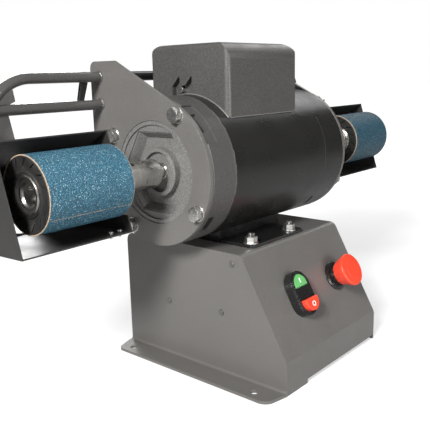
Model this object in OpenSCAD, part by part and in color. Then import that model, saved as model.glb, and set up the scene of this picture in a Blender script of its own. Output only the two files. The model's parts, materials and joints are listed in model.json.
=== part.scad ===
// Double-ended bench drum sander: a face-mounted motor on a folded steel pedestal,
// with an abrasive sleeve drum on each shaft end and a dust hood behind each drum.
// Frame: X along the motor axis, -Y is the operator's side, Z = 0 is the bench top.

/* [Pedestal] */
// Width of the pedestal across its side plates
ped_w = 198; // [180:1:220]
// Height of the pedestal top above the bench
ped_h = 148; // [130:1:170]
// Distance of the top-to-slope crease in front of the motor axis
crease_y = 90; // [86:1:100]
// Distance of the front panel in front of the motor axis
nose_y = 151; // [140:1:165]
// Height of the front panel
nose_h = 37; // [30:1:45]
// Distance of the back panel behind the motor axis
back_y = 95; // [92:1:110]
// Thickness of the pedestal sheet
sheet = 2.5; // [2:0.5:3]
// Thickness of the side plates and of the bolting flange
side_t = 3.5; // [3:0.5:5]
// Reach of the bolting flange beyond the side plate
flange_w = 30; // [26:1:40]
// Distance between the two flange holes
flange_pitch = 193; // [180:1:200]
// Diameter of the flange holes
flange_hole_d = 9; // [7:0.5:11]

/* [Motor] */
// Height of the motor axis above the pedestal top
foot_d = 88.9; // [88.9:0.1:95]
// Outer radius of the motor shell
shell_r = 83; // [82.8:0.1:84]
// Radius of the pilot ring on the motor faces
pilot_r = 57.15; // [56:0.05:58]
// Radius of the face bolt circle
face_bolt_pcr = 74.6; // [74:0.1:75]
// Radius of the motor shaft
shaft_r = 7.94; // [7.5:0.01:8]
// Distance from the motor centre to each motor face
face_x = 132; // [130:1:136]

/* [Guards and rails] */
// Thickness of the bracket plates on the motor faces
plate_t = 5; // [4:0.5:6]
// Radius of the round bar of the rails
rail_r = 5.75; // [5:0.25:6]
// Width of a dust hood
hood_w = 132; // [128:1:135]
// Thickness of the hood sheet
hood_t = 1.5; // [1.2:0.1:2]
// Outer radius of the dust spigot
spigot_r = 32; // [28:1:33]

/* [Drums] */
// Outer radius of the abrasive sleeve
drum_r = 38.1; // [37:0.1:39]
// Length of a drum
drum_len = 100; // [90:1:100]
// Distance of the near drum's inner end from the motor centre
near_drum_x = 200; // [198:1:204]
// Distance of the far drum's inner end from the motor centre
far_drum_x = 252; // [250:1:252]
// Thickness of the abrasive sleeve
sleeve_t = 1.2; // [0.8:0.1:1.5]

/* [Controls] */
// Place of the start and stop station across the sloping panel
station_x = -35; // [-45:1:-25]
// Distance of the station down the sloping panel
station_s = 65; // [55:0.5:70]
// Place of the emergency stop across the sloping panel
estop_x = 49.5; // [40:0.5:60]
// Distance of the emergency stop down the sloping panel
estop_s = 63.5; // [55:0.5:70]

/* [Hidden] */

axis_z = ped_h + foot_d;
slope_deg = atan2(ped_h - nose_h, nose_y - crease_y);
bend_r = 10;
cyl_fn = 96;
small_fn = 32;
eps = 0.01;

// motor layout along X
near_bell_x = -96;
far_bell_x = 88;
shell_t = 3;
bolt_r = 4.76;
bolt_af = 14.3;
bolt_head_h = 6.3;
washer_t = 2.2;
face_bolt_angles = [-31, 59, 149, 239];
bolt_depth = 12;
boss_r = 27;
seal_r = 22.5;
hex_out_r = 51.5;
hex_in_r = 43;
hex_floor = -9;
bearing_r = 20;
bearing_bore_r = 8.5;
bearing_w = 12;
bearing_in = 7;
ball_r = 3.3;
ball_pcr = 14.25;
core_r = shell_r - shell_t;
core_x0 = -52;
core_x1 = 44;
rotor_r = 44.6;
bore_r = 45;
slot_count = 24;
slot_r = 66;
slot_w = 5;

// capacitor box, heights above the motor axis
box_x0 = -78;
box_x1 = 55;
box_hw = 60;
box_top = 139;
box_t = 2.5;
box_screw_y = 13;
box_screw_z = 88;

// motor foot, its first bolts stand at the standard distance from the near motor face
foot_x0 = -70;
foot_x1 = 33;
foot_hy = 85;
foot_t = 4;
foot_bolt_xs = [-62, 14.2];
foot_bolt_y = 76;
foot_bolt_r = 3.97;
foot_bolt_af = 12.7;
foot_nut_h = 6.8;
foot_washer_t = 1.6;
stud_len = foot_washer_t + foot_nut_h + 4.5;

// rails, places relative to the motor axis
rail_y = 84.5;
rail_hi = 105;
rail_lo = 73.6;
near_bend_x = 230;
near_bend_r = 56;
far_bend_x = 237;
far_bend_r = 25;
rail_end_z = 10;
strap_near_x = 245;
strap_far_x = 221.5;

// hood profile (y, z) relative to the motor axis: lip, back top, back bottom, front flap
hood_back_y = 78.5;
hood_path = [[12, 51], [hood_back_y, 16], [hood_back_y, -58], [-20, -54]];
near_hood_x = 190;
far_hood_x = 224;
port_z = -25;
port_in = 68;
spigot_len = 18;

// drum radii
rubber_r = drum_r - sleeve_t;
hub_r = 22;
hub_nose_r = 17.5;
hub_bore_r = 10.7;
arbor_r = 15.5;
spindle_r = 11;
arbor_x = 138;
shaft_end = 188;
set_screw_xs = [159, 175];
set_screw_tilt = 24;
spindle_len = 70;
slit_count = 15;

// controls, heights above the sloping panel
station_w = 33.5;
station_len = 53;
station_h = 12;
button_w = 24;
estop_neck_r = 14;
estop_head_r = 20;
estop_neck_h = 9.5;
estop_rim_h = 24;
estop_top_h = 29;
stem_top = 20;

// ---- plane geometry helpers ----
function unit(v) = v / norm(v);
function left(v) = [-v[1], v[0]];

// points of the arc of radius r that rounds the corner b between a and c
function corner(a, b, c, r, n = 7) =
    let (u = unit(a - b), v = unit(c - b), half = acos(u * v) / 2,
         m = b + unit(u + v) * r / sin(half),
         s = b + u * r / tan(half) - m, e = b + v * r / tan(half) - m,
         a0 = atan2(s[1], s[0]), d = atan2(s[0] * e[1] - s[1] * e[0], s * e))
    r == 0 ? [b] : [for (i = [0:n]) m + r * [cos(a0 + d * i / n), sin(a0 + d * i / n)]];

// closed outline with each corner rounded by its own radius
function rounded(p, r) =
    [for (i = [0:len(p) - 1])
        each corner(p[(i + len(p) - 1) % len(p)], p[i], p[(i + 1) % len(p)], r[i])];

// open path with its inner corners rounded by r
function soft_path(p, r) =
    [p[0], for (i = [1:len(p) - 2]) each corner(p[i - 1], p[i], p[i + 1], r), p[len(p) - 1]];

// the path moved sideways by t, mitred at its corners
function shifted(p, t) =
    [for (i = [0:len(p) - 1])
        let (a = i == 0 ? unit(p[1] - p[0]) : unit(p[i] - p[i - 1]),
             b = i == len(p) - 1 ? a : unit(p[i + 1] - p[i]))
        p[i] + t * (left(a) + left(b)) / (1 + left(a) * left(b))];

function flipped(p) = [for (i = [len(p) - 1:-1:0]) p[i]];

// sheet of thickness t along an open path
function band(p, t) = concat(p, flipped(shifted(p, t)));

// extrudes a (y, z) outline along X from x0 to x1
module along_x(x0, x1) {
    translate([x0, 0, 0]) rotate([90, 0, 90]) linear_extrude(x1 - x0) children();
}

// turns a (radius, height) outline about the motor axis, height along +X
module about_axis() {
    translate([0, 0, axis_z]) rotate([0, 90, 0]) rotate_extrude($fn = cyl_fn) children();
}

// round bar along X at (y, z above the motor axis)
module bar_x(x0, x1, r, y = 0, z = 0, fn = small_fn) {
    translate([x0, y, axis_z + z]) rotate([0, 90, 0]) cylinder(h = x1 - x0, r = r, $fn = fn);
}

// places children on each face bolt, angle from -Y towards +Z
module at_face_bolts() {
    for (a = face_bolt_angles)
        translate([0, -face_bolt_pcr * cos(a), face_bolt_pcr * sin(a)]) children();
}

// a point of the sloping panel, local z is the panel's outward normal
module on_slope(x, s) {
    translate([x, -crease_y, ped_h]) rotate([slope_deg, 0, 0]) translate([0, -s, 0]) children();
}

module hex_prism(af, h) {
    cylinder(h = h, r = af / sqrt(3), $fn = 6);
}

module stadium(w, l) {
    hull() for (s = [-1, 1]) translate([0, s * (l - w) / 2]) circle(d = w, $fn = 64);
}

// ---- pedestal ----
ped_outline = [[back_y, 0], [back_y, ped_h], [-crease_y, ped_h], [-nose_y, nose_h], [-nose_y, 0]];
wrap_hx = ped_w / 2 - side_t;

module pedestal_wrap() {
    color("dimgray") difference() {
        along_x(-wrap_hx, wrap_hx)
            polygon(band(soft_path(ped_outline, bend_r), sheet));
        foot_holes(ped_h - 9, 12, foot_bolt_r + 0.3);
        on_slope(station_x, station_s) translate([0, 0, -sheet - 1])
            linear_extrude(sheet + 2) stadium(station_w - 6, station_len - 6);
        on_slope(estop_x, estop_s) translate([0, 0, -sheet - 1])
            cylinder(h = sheet + 2, r = 11.15, $fn = 48);
        // relief in the lower edge of the front panel
        translate([-58, -nose_y - 5, -1]) cube([wrap_hx + 58 + 1, 12, 6]);
        // cable gland hole in the back panel
        translate([40, back_y + 2, 40]) rotate([90, 0, 0]) cylinder(h = 8, r = 10.15, $fn = 48);
    }
}

// full side outline, thickness from x0 to x1
module side_profile(x0, x1) {
    along_x(x0, x1) polygon(rounded(ped_outline, [0, bend_r, bend_r, bend_r, 0]));
}

module side_screw_places() {
    for (p = [[23, 72], [-61, 76], [-77.5, 136]]) translate([0, p[0], p[1]]) children();
}

module screw_holes(x0, x1) {
    side_screw_places() translate([x0, 0, 0]) rotate([0, 90, 0])
        cylinder(h = x1 - x0, r = 2, $fn = 24);
}

module side_plate_near() {
    x1 = -wrap_hx;
    x0 = x1 - side_t;
    edge = x0 - flange_w;
    fillet_r = 3;
    color("gray") difference() {
        intersection() {
            // bent section: flange, inside fillet, upright
            translate([0, back_y + 1, 0]) rotate([90, 0, 0]) linear_extrude(nose_y + back_y + 2)
                polygon(rounded([[edge - 1, 0], [x1, 0], [x1, ped_h + 1], [x0, ped_h + 1],
                    [x0, side_t], [edge - 1, side_t]], [0, 2, 0, 0, fillet_r, 0]));
            side_profile(edge - 2, x1 + eps);
            // plan of the flange: clipped back corner, rounded front corner
            linear_extrude(ped_h + 2)
                polygon(rounded([[x1, back_y + 1], [x0 - 5, back_y + 1], [x0 - 6, back_y],
                    [edge + 3, back_y - 7], [edge, back_y - 11], [edge, -nose_y + 6],
                    [x0, -nose_y], [x0, -nose_y - 1], [x1, -nose_y - 1]],
                    [0, 0, 0, 2, 2, 13, 0, 0, 0]));
        }
        for (s = [-1, 1]) translate([x0 - 18, -24 + s * flange_pitch / 2, -1])
            cylinder(h = side_t + 2, r = flange_hole_d / 2, $fn = 48);
        screw_holes(x0 - 1, x1 + 1);
    }
}

module side_plate_far() {
    x0 = wrap_hx;
    color("gray") difference() {
        side_profile(x0, x0 + side_t);
        screw_holes(x0 - 1, x0 + side_t + 1);
        // clipped lower front corner
        translate([x0 - 1, -nose_y, 0]) rotate([45, 0, 0]) cube([side_t + 2, 9, 9], center = true);
    }
}

module bottom_plate() {
    color("gray") translate([-wrap_hx, -nose_y + 12, 0])
        cube([2 * wrap_hx, nose_y + back_y - 12 - sheet, 2]);
}

module side_screws() {
    head = ped_w / 2;
    color("silver") for (m = [0, 1]) mirror([m, 0, 0]) side_screw_places() {
        translate([-head, 0, 0]) rotate([0, 90, 0]) cylinder(h = side_t + 5, r = 1.9, $fn = 24);
        translate([-head - 1.4, 0, 0]) rotate([0, 90, 0]) cylinder(h = 1.4, r = 3.4, $fn = 24);
    }
}

// ---- motor foot ----
module at_foot_bolts(z) {
    for (x = foot_bolt_xs, side = [-1, 1]) translate([x, side * foot_bolt_y, z]) children();
}

module foot_holes(z0, h, r) {
    at_foot_bolts(z0) cylinder(h = h, r = r, $fn = small_fn);
}

// bolted flat plate with two long saddle walls and two cross walls cut to the shell
module motor_foot() {
    wall_t = 4;
    saddle_y = 36;
    saddle_x1 = 48;
    wall_h = 24;
    color([0.08, 0.08, 0.08]) difference() {
        union() {
            translate([0, 0, ped_h]) linear_extrude(foot_t)
                polygon(rounded([[foot_x1, foot_hy], [foot_x0, foot_hy], [foot_x0, -foot_hy],
                    [foot_x1, -foot_hy]], [6, 6, 6, 6]));
            for (y = [-saddle_y, saddle_y - wall_t]) translate([foot_x0, y, ped_h])
                cube([saddle_x1 - foot_x0, wall_t, wall_h]);
            for (x = [foot_x0, saddle_x1 - wall_t]) translate([x, -saddle_y, ped_h])
                cube([wall_t, 2 * saddle_y, wall_h]);
        }
        bar_x(foot_x0 - 5, saddle_x1 + 5, shell_r, fn = cyl_fn);
        foot_holes(ped_h - 1, foot_t + 2, foot_bolt_r + 0.3);
    }
}

module foot_bolts() {
    under = ped_h - sheet;
    head_h = 5.2;
    color("silver") {
        at_foot_bolts(under - head_h) hex_prism(foot_bolt_af, head_h);
        foot_holes(under - 1, sheet + foot_t + stud_len, foot_bolt_r);
    }
}

module foot_washers() {
    color("silver") difference() {
        foot_holes(ped_h + foot_t, foot_washer_t, 8.7);
        foot_holes(ped_h + foot_t - 1, foot_washer_t + 2, foot_bolt_r + 0.3);
    }
}

module foot_nuts() {
    color("silver") difference() {
        at_foot_bolts(ped_h + foot_t + foot_washer_t) hex_prism(foot_bolt_af, foot_nut_h);
        foot_holes(ped_h, 40, foot_bolt_r);
    }
}

// ---- motor ----
module stator_shell() {
    color([0.25, 0.25, 0.24]) about_axis()
        polygon([[core_r, near_bell_x], [shell_r, near_bell_x], [shell_r, far_bell_x],
            [core_r, far_bell_x]]);
}

// end bell with its machined face at height 0 and its skirt reaching down to -skirt
module end_bell(skirt) {
    spigot = 5;
    ledge_r = pilot_r - 4.5;
    rotate_extrude($fn = cyl_fn) polygon([[shell_r, -skirt], [shell_r, -1.5],
        [shell_r - 1.5, 0], [pilot_r, 0], [pilot_r, 4], [ledge_r, 4],
        [ledge_r, 2], [boss_r, 2], [boss_r, -1], [seal_r, -1], [seal_r, -5.5], [10, -5.5],
        [10, -bearing_in], [bearing_r, -bearing_in], [bearing_r, -bearing_in - bearing_w],
        [boss_r, -bearing_in - bearing_w], [30, hex_floor - 5], [69, hex_floor - 5], [76, -20],
        [76, -skirt - spigot], [core_r, -skirt - spigot], [core_r, -skirt]]);
}

// hexagonal recess of the motor face: an upright step, then walls that slope in to the floor
module hex_recess() {
    step = 1.5;
    difference() {
        union() {
            translate([0, 0, 2 - step]) cylinder(h = step + 3, r = hex_out_r, $fn = 6);
            translate([0, 0, hex_floor])
                cylinder(h = 2 - step - hex_floor + eps, r1 = hex_in_r, r2 = hex_out_r - 1.5, $fn = 6);
        }
        translate([0, 0, hex_floor - 1]) cylinder(h = 8 - hex_floor, r = boss_r, $fn = cyl_fn);
    }
}

module tapped_face_holes() {
    for (a = face_bolt_angles) rotate(a) translate([face_bolt_pcr, 0, -bolt_depth])
        cylinder(h = bolt_depth + 1, r = bolt_r, $fn = small_fn);
}

// slot through the skirt at angle a, w wide and h high, its middle at height z
module skirt_slot(a, w, h, z) {
    rotate(a) translate([shell_r, 0, z]) cube([26, w, h], center = true);
}

// slot near the face that turns down behind the skirt into the motor
module angled_slot(a, w, h, z) {
    skirt_slot(a, w, h, z);
    rotate(a) translate([71, -w / 2, -21]) cube([4, w, 21 + z]);
}

// shallow cast pocket in the skirt around the upper ventilation slot
module skirt_pocket(a, w, h) {
    intersection() {
        rotate(a) translate([shell_r, 0, -h / 2]) cube([30, w, h], center = true);
        translate([0, 0, -h]) difference() {
            cylinder(h = h, r = shell_r + 5, $fn = cyl_fn);
            translate([0, 0, -1]) cylinder(h = h + 2, r = shell_r - 1.8, $fn = cyl_fn);
        }
    }
}

// turns a bell so that its height runs outwards, local x to -Y and local y up
module bell_frame(side) {
    translate([side * face_x, 0, axis_z])
        multmatrix([[0, 0, side, 0], [-1, 0, 0, 0], [0, 1, 0, 0]]) children();
}

module end_bell_near() {
    color([0.42, 0.42, 0.4]) bell_frame(-1) difference() {
        end_bell(near_bell_x + face_x);
        hex_recess();
        tapped_face_holes();
        for (a = [43.5, 136.5]) {
            angled_slot(a, 25, 8, -7);
            skirt_pocket(a, 52, 16.5);
        }
        for (a = [-40, 220]) angled_slot(a, 22, 9, -9.5);
    }
}

module end_bell_far() {
    color([0.25, 0.25, 0.24]) bell_frame(1) difference() {
        end_bell(face_x - far_bell_x);
        hex_recess();
        tapped_face_holes();
        for (a = [-48, 228]) skirt_slot(a, 16, 4, far_bell_x - face_x + 3);
        angled_slot(136.5, 25, 8, -7);
    }
}

module slots(w, r0, r1, x0, x1) {
    for (i = [0:slot_count - 1]) translate([x0, 0, axis_z]) rotate([i * 360 / slot_count, 0, 0])
        translate([0, -w / 2, r0]) cube([x1 - x0, w, r1 - r0]);
}

module stator_core() {
    color("slategray") difference() {
        bar_x(core_x0, core_x1, core_r, fn = cyl_fn);
        bar_x(core_x0 - 1, core_x1 + 1, bore_r, fn = cyl_fn);
        slots(slot_w, bore_r - 2, slot_r, core_x0 - 1, core_x1 + 1);
    }
}

module windings() {
    color([0.72, 0.4, 0.2]) {
        slots(slot_w - 0.6, bore_r + 3, slot_r - 0.5, core_x0 - 2, core_x1 + 2);
        for (x = [core_x0 - 22, core_x1 + 2]) about_axis()
            polygon([for (p = rounded([[48, 0], [72, 0], [70, 20], [50, 20]], [3, 3, 6, 6]))
                [p[0], x + (x < 0 ? 20 - p[1] : p[1])]]);
    }
}

module rotor() {
    color("lightslategray") about_axis()
        polygon([[9.5, core_x0], [30, core_x0], [30, core_x0 - 8], [42, core_x0 - 8],
            [43, core_x0], [rotor_r, core_x0], [rotor_r, core_x1], [43, core_x1],
            [42, core_x1 + 8], [30, core_x1 + 8], [30, core_x1], [9.5, core_x1]]);
}

module motor_shaft() {
    seat = face_x - bearing_in;
    color("silver") about_axis()
        polygon([[0, -shaft_end], [shaft_r - 0.8, -shaft_end], [shaft_r, -shaft_end + 0.8],
            [shaft_r, -seat - 1], [bearing_bore_r, -seat - 1], [bearing_bore_r, -seat + bearing_w],
            [9.5, -seat + bearing_w], [9.5, seat - bearing_w], [bearing_bore_r, seat - bearing_w],
            [bearing_bore_r, seat + 1], [shaft_r, seat + 1], [shaft_r, shaft_end - 0.8],
            [shaft_r - 0.8, shaft_end], [0, shaft_end]]);
}

// bearing rings between radii r0 and r1, each with its half of the ball groove
module ring(r0, r1) {
    for (s = [-1, 1]) {
        x0 = s * (face_x - bearing_in - bearing_w / 2);
        difference() {
            about_axis() polygon([[r0, x0 - bearing_w / 2], [r1, x0 - bearing_w / 2],
                [r1, x0 + bearing_w / 2], [r0, x0 + bearing_w / 2]]);
            about_axis() translate([ball_pcr, x0]) circle(r = ball_r + 0.1, $fn = 32);
        }
    }
}

module bearing_outer_rings() {
    color("silver") ring(16.2, bearing_r);
}

module bearing_inner_rings() {
    color("silver") ring(bearing_bore_r, 12.3);
}

module bearing_balls() {
    color("silver") for (s = [-1, 1], i = [0:7])
        translate([s * (face_x - bearing_in - bearing_w / 2), 0, axis_z])
            rotate([i * 45, 0, 0]) translate([0, 0, ball_pcr]) sphere(r = ball_r, $fn = 20);
}

module governor_disc() {
    color("goldenrod") about_axis()
        polygon([[9.5, 62], [15, 62], [15, 66], [32, 70], [32, 73], [13, 70], [13, 74], [9.5, 74]]);
}

module start_contact_plate() {
    color("peru") difference() {
        bar_x(80, 84, 36, fn = cyl_fn);
        bar_x(79, 85, 16, fn = cyl_fn);
    }
    color("peru") for (a = [0, 180]) translate([0, 0, axis_z]) rotate([a, 0, 0])
        translate([80, -6, 34]) cube([4, 12, 40]);
}

// ---- capacitor box ----
// the box's solid form inside the given wall inset: end view, side view and plan
module box_form(inset) {
    hw = box_hw - inset;
    x0 = box_x0 + inset;
    x1 = box_x1 - inset;
    z1 = box_top - inset;
    foot_z = 40;
    end_r = [18 - inset, 16 - inset, 6 - inset];
    intersection() {
        translate([0, 0, axis_z]) along_x(x0, x1)
            polygon(rounded([[hw, foot_z], [hw, z1], [-hw, z1], [-hw, foot_z]],
                [0, end_r[0], end_r[0], 0]));
        translate([0, box_hw + 1, axis_z]) rotate([90, 0, 0]) linear_extrude(2 * box_hw + 2)
            polygon(rounded([[x0, foot_z], [x1, foot_z], [x1, z1], [x0, z1]],
                [0, 0, end_r[1], end_r[2]]));
        translate([0, 0, axis_z + foot_z]) linear_extrude(box_top)
            polygon(rounded([[x0, -hw], [x1, -hw], [x1, hw], [x0, hw]],
                [end_r[2], end_r[2], end_r[2], end_r[2]]));
    }
}

module capacitor_box() {
    pocket = 7;
    color([0.35, 0.35, 0.33]) difference() {
        box_form(0);
        difference() {
            box_form(box_t);
            // inner wall of the screw pocket
            translate([box_x0, -10, axis_z + 70]) cube([pocket + box_t, 38, 37]);
        }
        bar_x(box_x0 - 5, box_x1 + 5, shell_r, fn = cyl_fn);
        // screw pocket with two pointed tops
        translate([box_x0 - 1, 8, axis_z]) along_x(0, pocket + 1)
            polygon([[-14.5, 70], [17, 70], [17, 92], [5, 104], [4.5, 93], [-3.5, 93], [-14, 104],
                [-14.5, 93]]);
        bar_x(box_x0, box_x0 + 20, 2.1, box_screw_y, box_screw_z);
    }
}

module capacitor_box_screw() {
    color("silver") {
        bar_x(box_x0 + 0.5, box_x0 + 7, 4.2, box_screw_y, box_screw_z);
        bar_x(box_x0 + 6, box_x0 + 16, 2, box_screw_y, box_screw_z);
    }
}

module capacitors() {
    color([0.16, 0.16, 0.18]) for (y = [-24, 24]) translate([0, y, 0])
        bar_x(-52, 42, 19, z = 110);
}

// ---- bracket plates ----
module face_plate() {
    arm = [[-37.3, 73.2], [57, 121.3], [60, 122.5], [100, 122.5], [100, -8], [64, -48], [0, 0]];
    linear_extrude(plate_t) difference() {
        union() {
            circle(r = shell_r - 0.4, $fn = cyl_fn);
            polygon(rounded(arm, [0, 3, 3, 8, 12, 0, 0]));
        }
        circle(r = pilot_r + 0.05, $fn = cyl_fn);
        for (a = face_bolt_angles) translate([-face_bolt_pcr * cos(a), face_bolt_pcr * sin(a)])
            circle(r = bolt_r + 0.25, $fn = small_fn);
    }
}

module bracket_plate_near() {
    color("gray") translate([-face_x - plate_t, 0, axis_z]) rotate([90, 0, 90]) face_plate();
}

module bracket_plate_far() {
    color("gray") translate([face_x, 0, axis_z]) rotate([90, 0, 90]) face_plate();
}

module face_washers() {
    color("silver") for (m = [0, 1]) mirror([m, 0, 0])
        translate([-face_x - plate_t - washer_t, 0, axis_z]) at_face_bolts() rotate([0, 90, 0])
            difference() {
                cylinder(h = washer_t, r = 8.9, $fn = 48);
                translate([0, 0, -1]) cylinder(h = washer_t + 2, r = bolt_r + 0.25, $fn = small_fn);
            }
}

module face_bolts() {
    outer = face_x + plate_t + washer_t;
    color("silver") for (m = [0, 1]) mirror([m, 0, 0])
        translate([-outer, 0, axis_z]) at_face_bolts() rotate([0, 90, 0]) {
            translate([0, 0, -bolt_head_h]) hex_prism(bolt_af, bolt_head_h);
            translate([0, 0, -1])
                cylinder(h = outer - face_x + bolt_depth - 1, r = bolt_r, $fn = small_fn);
        }
}

// ---- rails ----
module tie_rod() {
    color([0.1, 0.1, 0.1]) bar_x(-face_x, face_x, rail_r, rail_y, rail_hi);
}

// bent rail on the -X side: straight run, quarter bend down, upright behind the hood
module bent_rail(bend_x, bend_r) {
    bar_x(-bend_x, -face_x - plate_t, rail_r, rail_y, rail_hi);
    intersection() {
        translate([-bend_x, rail_y, axis_z + rail_hi - bend_r]) rotate([90, 0, 0])
            rotate_extrude($fn = cyl_fn) translate([bend_r, 0]) circle(r = rail_r, $fn = small_fn);
        translate([-bend_x - 100, rail_y - 20, axis_z + rail_hi - bend_r]) cube([100, 40, 100]);
    }
    translate([-bend_x - bend_r, rail_y, axis_z + rail_end_z])
        cylinder(h = rail_hi - bend_r - rail_end_z, r = rail_r, $fn = small_fn);
}

// lower rail, coped where it meets the upper rail's bend or upright
module low_rail(bend_x, bend_r) {
    drop = max(0, rail_lo - rail_hi + bend_r);
    difference() {
        bar_x(-bend_x - sqrt(bend_r * bend_r - drop * drop) + 0.5, -face_x - plate_t,
            rail_r, rail_y, rail_lo);
        bent_rail(bend_x, bend_r);
    }
}

module rail_upper_near() {
    color("gray") bent_rail(near_bend_x, near_bend_r);
}

module rail_upper_far() {
    color("gray") mirror([1, 0, 0]) bent_rail(far_bend_x, far_bend_r);
}

module rail_lower_near() {
    color("gray") low_rail(near_bend_x, near_bend_r);
}

module rail_lower_far() {
    color("gray") mirror([1, 0, 0]) low_rail(far_bend_x, far_bend_r);
}

// flat bars behind the rails, leaning out from the upper rail down to the lower one
module rail_braces() {
    back = rail_y + rail_r + 0.05;
    bar_t = 4;
    color([0.1, 0.1, 0.1]) for (m = [0, 1]) mirror([m, 0, 0])
        translate([0, back + bar_t, axis_z]) rotate([90, 0, 0]) linear_extrude(bar_t)
            polygon([[-145, rail_hi + 6], [-156, rail_hi + 6], [-165.5, rail_lo - 3],
                [-158.5, rail_lo - 3]]);
}

// joggled strap welded behind both rails that carries the hood's back wall
module hood_supports() {
    strap_t = 3;
    back = rail_y + rail_r + 0.05;
    hang = [[back, 99], [back, 40], [hood_back_y, 26], [hood_back_y, 10]];
    color("gray") for (side = [-1, 1]) intersection() {
        translate([0, 0, axis_z]) along_x(-300, 300)
            polygon(band(soft_path(hang, 4), strap_t));
        translate([0, back + 20, axis_z]) rotate([90, 0, 0]) linear_extrude(40)
            mirror([side > 0 ? 1 : 0, 0]) translate([side > 0 ? -strap_far_x : -strap_near_x, 0])
                polygon(rounded([[-3, 99], [0, 82], [-8.5, 78.5], [-9.5, 68], [-4, 40], [-4, 8],
                    [-34.5, 8], [-34.5, 99]], [2, 1.5, 1.5, 2, 2, 0, 0, 2]));
    }
}

// ---- hoods ----
// hood with its inner end wall at x = 0 and its outer end wall at x = -hood_w
module hood() {
    notch_r = 36.5;
    difference() {
        union() {
            translate([0, 0, axis_z]) along_x(-hood_w, 0)
                polygon(band(soft_path(hood_path, 4), -hood_t));
            translate([0, 0, axis_z]) along_x(-hood_t, 0) polygon(hood_path);
            translate([0, 0, axis_z]) along_x(-hood_w, -hood_w + hood_t) polygon(hood_path);
        }
        bar_x(-hood_t - 1, 1, notch_r, fn = cyl_fn);
        translate([-hood_t - 1, -60, axis_z - notch_r]) cube([hood_t + 2, 60, 2 * notch_r]);
        translate([-port_in, hood_back_y + 5, axis_z + port_z]) rotate([90, 0, 0])
            cylinder(h = 10, r = spigot_r - 2, $fn = 64);
        for (x = [-8, -20]) translate([x, -8, axis_z - 62]) cylinder(h = 12, r = 1.6, $fn = 24);
    }
}

module hood_near() {
    color([0.2, 0.2, 0.2]) translate([-near_hood_x, 0, 0]) hood();
}

module hood_far() {
    color([0.2, 0.2, 0.2]) mirror([1, 0, 0]) translate([-far_hood_x, 0, 0]) hood();
}

module at_hoods() {
    translate([-near_hood_x, 0, 0]) children();
    mirror([1, 0, 0]) translate([-far_hood_x, 0, 0]) children();
}

module dust_spigots() {
    color("gray") at_hoods() difference() {
        translate([-port_in, hood_back_y + spigot_len, axis_z + port_z]) rotate([90, 0, 0])
            cylinder(h = spigot_len, r = spigot_r, $fn = 64);
        translate([-port_in, hood_back_y + spigot_len + 1, axis_z + port_z]) rotate([90, 0, 0])
            cylinder(h = spigot_len + 2, r = spigot_r - 2, $fn = 64);
    }
}

module hood_screws() {
    flap_top = axis_z - 54.4 + hood_t;
    color("silver") at_hoods() for (x = [-8, -20]) translate([x, -8, flap_top]) {
        cylinder(h = 2, r = 3, $fn = 24);
        translate([0, 0, -6]) cylinder(h = 7, r = 1.5, $fn = 24);
    }
}

// ---- arbors and drums, drawn on the -X side with the drum's inner end at -drum_x ----
module arbor(drum_x) {
    difference() {
        translate([0, 0, axis_z]) rotate([0, -90, 0]) rotate_extrude($fn = cyl_fn)
            polygon([[0, drum_x + spindle_len], [0, shaft_end + 2], [shaft_r + 0.02, shaft_end + 2],
                [shaft_r + 0.02, arbor_x], [arbor_r - 1.2, arbor_x], [arbor_r, arbor_x + 1.2],
                [arbor_r, drum_x], [spindle_r, drum_x], [spindle_r, drum_x + spindle_len]]);
        set_screw_places() cylinder(h = 20, r = 3.05, $fn = 24);
        bar_x(-drum_x - spindle_len - 1, -drum_x - spindle_len + 22, 4, fn = 24);
    }
}

module set_screw_places() {
    for (x = set_screw_xs) translate([-x, 0, axis_z]) rotate([set_screw_tilt, 0, 0])
        translate([0, 0, shaft_r + 0.1]) children();
}

module arbor_near() {
    color("silver") arbor(near_drum_x);
}

module arbor_far() {
    color("silver") mirror([1, 0, 0]) arbor(far_drum_x);
}

module arbor_set_screws() {
    color([0.1, 0.1, 0.1]) for (m = [0, 1]) mirror([m, 0, 0]) set_screw_places() difference() {
        cylinder(h = 5, r = 3, $fn = 24);
        translate([0, 0, 2.5]) cylinder(h = 3, r = 1.7, $fn = 6);
    }
}

module at_drums() {
    translate([-near_drum_x, 0, 0]) children();
    mirror([1, 0, 0]) translate([-far_drum_x, 0, 0]) children();
}

// heights in this outline run outwards from the drum's inner end
module drum_turned() {
    translate([0, 0, axis_z]) rotate([0, -90, 0]) rotate_extrude($fn = cyl_fn) children();
}

module drum_hubs() {
    color("silver") at_drums() drum_turned()
        polygon([[spindle_r, 0], [hub_r - 2, 0], [hub_r - 2, 4], [hub_r, 4], [hub_r, drum_len - 1],
            [hub_nose_r + 1, drum_len - 1], [hub_nose_r + 1, drum_len], [hub_nose_r, drum_len],
            [hub_nose_r - 2.5, drum_len - 2.5], [hub_bore_r + 2, drum_len - 2.5],
            [hub_bore_r, drum_len - 4.5], [hub_bore_r, spindle_len + 3], [4.5, spindle_len + 3],
            [4.5, spindle_len], [spindle_r, spindle_len]]);
}

module rubber() {
    slit_w = 1.2;
    difference() {
        drum_turned() polygon([[hub_r, 4], [hub_r + 3, 1], [rubber_r - 1, 0], [rubber_r, 1],
            [rubber_r, drum_len - 1], [rubber_r - 1, drum_len], [hub_r + 1, drum_len - 2],
            [hub_r, drum_len - 2]]);
        for (i = [0:slit_count - 1]) translate([0, 0, axis_z]) rotate([i * 360 / slit_count, 0, 0])
            translate([-drum_len - 1, 0, 31]) rotate([38, 0, 0])
                translate([0, -slit_w / 2, -5]) cube([drum_len + 2, slit_w, 10]);
    }
}

module drum_rubber_near() {
    color([0.1, 0.1, 0.1]) translate([-near_drum_x, 0, 0]) rubber();
}

module drum_rubber_far() {
    color([0.1, 0.1, 0.1]) mirror([1, 0, 0]) translate([-far_drum_x, 0, 0]) rubber();
}

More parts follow.
